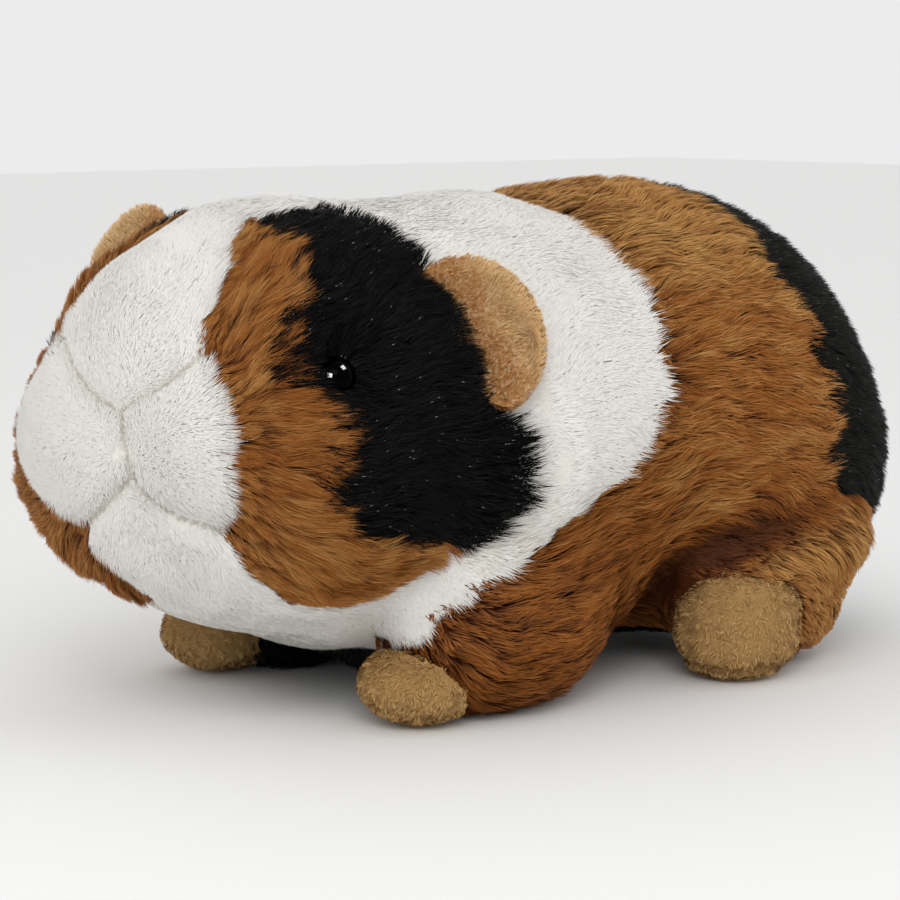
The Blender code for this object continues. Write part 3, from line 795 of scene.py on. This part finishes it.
def velboa(name, shaded, base, pale):
    """Velboa, a very short matt pile with paler crimps under 1 mm across, and painted shade: darker on the cloth,
    towards the fibres' roots and where little of it is lit.
    """
    made, tree, shader = material(name)
    place = add(tree, "ShaderNodeTexCoord").outputs["Object"]
    noise = {"Scale": 1100.0, "Detail": 2.0, "Roughness": 0.6}
    fleck = add(tree, "ShaderNodeTexNoise", noise, {"Vector": place}).outputs["Fac"]
    lit_share = add(tree, "ShaderNodeAttribute", {"attribute_name": "open"}).outputs["Fac"]
    body = mixed(tree, lit_share, shaded, base)
    shade = add(tree, "ShaderNodeMapRange", {"From Min": 0.4, "From Max": 0.75}, {"Value": fleck}).outputs[0]
    crimped = mixed(tree, shade, body, pale)
    # Painted shade: the cloth and the fibres' roots are mixed towards the shaded colour.
    along = add(tree, "ShaderNodeAttribute", {"attribute_name": "along"}).outputs["Fac"]
    lift = add(tree, "ShaderNodeMapRange", {"From Max": 0.8, "To Min": 0.5}, {"Value": along}).outputs[0]
    tree.links.new(mixed(tree, lift, shaded, crimped), shader.inputs["Base Color"])
    crimp = add(tree, "ShaderNodeBump", {"Strength": 0.3, "Distance": 0.0004}, {"Height": fleck})
    tree.links.new(crimp.outputs["Normal"], shader.inputs["Normal"])
    shader.inputs["Roughness"].default_value = 0.9
    shader.inputs["Specular IOR Level"].default_value = 0.15
    return made


# Tan velboa of the paws: matt, a warm grey brown, with painted shade in the sole seam's fold and on the cloth between
# the fibres.
PAW_VELBOA = velboa("tan_paw_velboa", "#76522b", "#c0985d", "#d8b681")
VELBOA_DEPTH, VELBOA_HEIGHT, VELBOA_WIDTH = 1.0, 1.05, 0.18
PAW_LOWEST = 0.3  # above the table
SOLE_SEAM, SEAM_WIDTH, SEAM_DEPTH = 3.2, 0.8, 0.6  # its height on a hind paw, and its size


def set_lit_share(mesh, shades):
    """How much of each point of a velboa mesh is painted as lit, from 0 where its colour is wholly painted shade."""
    mesh.attributes.new("open", "FLOAT", "POINT").data.foreach_set("value", shades.astype(np.float32))


def velboa_pile(name, cloth, stuff, lie, lit_share, per_mm2, seed, stray=0.8, length=1.6):
    """The very short pile of a velboa piece, lying loosely towards lie, and crimped by stray."""
    roots = scattered(cloth, lambda places, up: np.full(len(places), per_mm2), seed, {"open": lit_share})
    turn = np.stack([waves(roots["at"], 3.0, seed + axis) for axis in range(3)], 1)
    way = unit(np.broadcast_to(lie, roots["up"].shape) + stray * turn + 0.001)
    way = unit(way - roots["up"] * (way * roots["up"]).sum(1, keepdims=True))
    kind = Pile(name, "tan_velboa", stuff, 1.0, VELBOA_WIDTH, ((0.9, 0.35, 0.1),), 0.35, SHORT, per_mm2)
    pile = fibres(kind, name, roots, way, length, VELBOA_HEIGHT, VELBOA_WIDTH, seed)
    set_lit_share(pile.data, np.repeat(roots["open"], 2 * len(SHORT) + 2))


def fore_paw(name, side):
    """A fore paw and its surface: its solid rounded off, a little fuller and further out, and flatter."""
    paw = bagged(f"fore_paw_{name}_velboa", [f"fore_paw_{name}"], grain=0.9)
    points = eased(points_of(paw.data), edges_of(paw.data), 8)
    middle = points.mean(0) * (1, 1, 0)
    return paw, middle + (points - middle) * (1.06, 1.06, 0.88) + (1.0 * side, 0.8, 0)


def hind_paw(name, side):
    """A hind paw and its surface: a whole round stub, set into the dent in the thigh."""
    ball = bmesh.new()
    bmesh.ops.create_icosphere(ball, subdivisions=5, radius=1.0)
    data = bpy.data.meshes.new(f"hind_paw_{name}_velboa")
    ball.to_mesh(data)
    ball.free()
    data.shade_smooth()
    places = points_of(data) * MM
    points = HIND_PAW_MIDDLE * (side, 1, 1) + places / boxy(places)[:, None] * HIND_PAW_SIZE
    return link(bpy.data.objects.new(data.name, data)), points


for part, form, seam, per_mm2 in (("fore_paw", fore_paw, None, 7.0), ("hind_paw", hind_paw, SOLE_SEAM, 4.6)):
    for name, side in SIDES:
        paw, points = form(name, side)
        set_points(paw.data, points)
        normals = normals_of(paw.data)
        fold = np.zeros(len(points))
        if seam:
            fold = np.exp(-(((points[:, 2] - seam + 1.2 * waves(points, 30, 5)) / SEAM_WIDTH) ** 2))
        sink = VELBOA_DEPTH - 0.3 * waves(points, 9, 60 + side) + SEAM_DEPTH * fold
        points = points - normals * sink[:, None]
        points[:, 2] = np.maximum(points[:, 2], PAW_LOWEST)
        set_points(paw.data, points)
        unwrapped(paw)
        paw.data.materials.append(PAW_VELBOA)
        # Painted shade: the lit share falls to 0 in the sole seam's fold.
        set_lit_share(paw.data, 1 - fold)
        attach(paw, "root")
        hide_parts(f"{part}_{name}")
        velboa_pile(f"{part}_{name}_pile", paw, PAW_VELBOA, (0, -0.3, -0.6), 1 - fold, per_mm2, 300 + side)

# ---------------------------------------------------------------------------------------------------------
# Ears
# Each ear is a round double flap of the same velboa, turned and cupped, with its lower edge sewn into the
# side of the head under the pile.
# ---------------------------------------------------------------------------------------------------------

# In the head's frame: the left ear's middle, the way its seam runs and the way it stands out. Half its width and
# height, its thickness, how deeply it is cupped, and the height of the ridges of its gathered seam.
EAR_CENTRE, RIGHT_EAR_SHIFT = np.array((46.1, 8.0, 18.9)), np.array((0.3, -3.0, 1.4))
EAR_SEAM, EAR_OUT = np.array((0.63, 0.0, -0.78)), np.array((0.69, 0.46, 0.56))
EAR_WIDE, EAR_TALL, EAR_THICKNESS, EAR_CUP, EAR_RIDGE = 17.4, 14.4, 4.2, 3.6, 0.28
EAR_TUCK = np.array((3.0, 0.0, 0.0))  # how far the sewn edge goes into the head
# The same tan velboa with a paler rim, and painted shade: darker and redder in the hollow, towards the sewn edge.
EAR_VELBOA = velboa("tan_ear_velboa", "#b0753a", "#e4c088", "#eacca0")


def ball_mesh(name, around, down):
    """A smooth ball, 1 m in radius, built ring by ring, so that its faces keep the same order on every run."""
    turns, falls = np.arange(around) * math.tau / around, np.arange(1, down) * math.pi / down
    rings = [(math.cos(turn) * math.sin(fall), math.sin(turn) * math.sin(fall), math.cos(fall))
             for fall in falls for turn in turns]
    last, faces = len(rings) + 1, []
    for step in range(around):
        after = (step + 1) % around
        faces.append((0, 1 + step, 1 + after))
        for ring in range(1, last - around, around):
            faces.append((ring + step, ring + around + step, ring + around + after, ring + after))
        faces.append((last, last - around + after, last - around + step))
    data = bpy.data.meshes.new(name)
    data.from_pydata([(0, 0, 1), *rings, (0, 0, -1)], [], faces)
    data.shade_smooth()
    return data


for name, side in SIDES:
    data = ball_mesh(f"ear_{name}_velboa", 72, 40)
    ball = points_of(data) * MM
    rim = np.minimum(1, np.hypot(ball[:, 0], ball[:, 1]))
    seam = unit(EAR_SEAM)
    out = unit(EAR_OUT - seam * (seam @ EAR_OUT))
    hollow = np.cross(seam, out)
    swell = np.sign(ball[:, 2]) * np.abs(ball[:, 2]) ** 0.85 * EAR_THICKNESS / 2
    round_ear = np.arctan2(ball[:, 1] + 0.3, ball[:, 0])
    gathers = np.sin(26 * round_ear + 2 * waves(ball * 16, 12, 72))
    ridges = EAR_RIDGE * gathers * ramp(rim, 0.35, 0.7) * ramp(rim, 1.0, 0.9)
    thick = swell + EAR_CUP * (rim**2 - 0.5) + 0.5 * waves(ball * 16, 14, 71) + ridges
    # The half towards the head is gathered to a straight edge and tucked in under the pile.
    gathered = np.where(ball[:, 1] > 0, ball[:, 1], 0.28 * ball[:, 1])
    local = ball[:, :1] * EAR_WIDE * seam + gathered[:, None] * EAR_TALL * out + thick[:, None] * hollow
    local -= ramp(ball[:, 1], 0.0, -0.6)[:, None] * EAR_TUCK
    mirror = np.array((side, 1, 1))
    shift = RIGHT_EAR_SHIFT * (side < 0)
    set_points(data, from_head((EAR_CENTRE + local) * mirror + shift))
    # Painted shade: on the hollow face the lit share falls towards the sewn edge; the back of the flap stays fully
    # lit.
    lit_share = np.maximum(ramp(ball[:, 1] + 0.15 * waves(ball * 16, 8, 73), 0.15, 0.75), ball[:, 2] < -0.1)
    if side < 0:
        data.flip_normals()
    ear = link(bpy.data.objects.new(data.name, data))
    unwrapped(ear)
    data.materials.append(EAR_VELBOA)
    set_lit_share(data, lit_share)
    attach(ear, "root")
    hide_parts(f"ear_{name}")
    lie = HEAD_TURN @ (out * mirror)
    velboa_pile(f"ear_{name}_pile", ear, EAR_VELBOA, lie, lit_share, 10.5, 400 + side, stray=0.35, length=2.1)

# ---------------------------------------------------------------------------------------------------------
# Eyes
# Black moulded plastic beads with a shank through the backing. They sit deep, so the pile half covers them.
# ---------------------------------------------------------------------------------------------------------

EYE_SINK = 1.8  # how far the bead sits in from its place on the solid
# Moulded polystyrene bead: black all through, with a high polish that shows the lights as small points.
bead, tree, shader = material("polished_black_polystyrene")
shader.inputs["Base Color"].default_value = (*linear("#000000"), 1)
shader.inputs["Roughness"].default_value = 0.06
shader.inputs["Specular IOR Level"].default_value = 0.02

eye_beads = bpy.data.collections.new("eye_beads")
for name, side in SIDES:
    low, high = (np.array(corner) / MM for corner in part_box(f"eye_{name}"))
    data = ball_mesh(f"eye_{name}_bead", 48, 32)
    middle = eyes[name] - EYE_SINK * EYE_AXES[name]
    set_points(data, middle + points_of(data) * MM * (high - low).max() / 2)
    data.materials.append(bead)
    eye = link(bpy.data.objects.new(data.name, data))
    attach(eye, "root")
    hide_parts(f"eye_{name}")
    eye_beads.objects.link(eye)

# ---------------------------------------------------------------------------------------------------------
# Table, lights and camera
# A pale laminate table under an even white sky, with one softbox in front of the toy and to its left.
# ---------------------------------------------------------------------------------------------------------

# White laminate: a dull, very pale table top.
board, tree, shader = material("white_laminate")
shader.inputs["Base Color"].default_value = (*linear("#f4f4f3"), 1)
shader.inputs["Roughness"].default_value = 0.8
bpy.ops.mesh.primitive_plane_add(size=6, location=(0, 0, 0))
table = bpy.context.active_object
table.name = "table"
table.data.materials.append(board)

world = bpy.data.worlds.new("studio")
bpy.context.scene.world = world
world.use_nodes = True
world.node_tree.nodes["Background"].inputs["Color"].default_value = (1, 1, 1, 1)
world.node_tree.nodes["Background"].inputs["Strength"].default_value = 0.84

TARGET = Vector((0.0005, -0.0022, 0.055))  # m


def towards(azimuth, elevation):
    """The way from the toy to a place round it, in degrees from its nose, its left positive, and up."""
    turn, rise = math.radians(azimuth), math.radians(elevation)
    return Vector((math.sin(turn) * math.cos(rise), -math.cos(turn) * math.cos(rise), math.sin(rise)))


def placed(thing, way, distance):
    """Puts a lamp or camera distance m from the toy, looking at it."""
    thing.location = TARGET + way * distance
    thing.rotation_euler = (-way).to_track_quat("-Z", "Y").to_euler()
    return thing


def softbox(name, azimuth, elevation, size, watts, distance=0.9):
    """A rectangular soft light of size (width, height) in m that looks at the toy."""
    data = bpy.data.lights.new(name, "AREA")
    data.shape = "RECTANGLE"
    data.size, data.size_y = size
    data.energy = watts
    return placed(link(bpy.data.objects.new(name, data)), towards(azimuth, elevation), distance)


softbox("key_softbox", 50, 34, (0.45, 0.45), 2.3)
# Two lights shine on the eyes alone, so that each bead carries a bright and a dimmer glint.
softbox("bright_eye_light", 24, 19, (0.50, 0.30), 330.0).light_linking.receiver_collection = eye_beads
softbox("dim_eye_light", 124, 50, (0.34, 0.30), 108.0).light_linking.receiver_collection = eye_beads

lens = bpy.data.cameras.new("camera")
lens.sensor_width, lens.lens = 36, 111.68  # mm
lens.shift_x, lens.shift_y = -20.5 / 900, -15 / 900  # shares of the picture's width
camera = placed(link(bpy.data.objects.new("camera", lens)), towards(49.3, 7.3), 0.65)
bpy.context.scene.camera = camera
bpy.context.scene.view_settings.view_transform = "Standard"
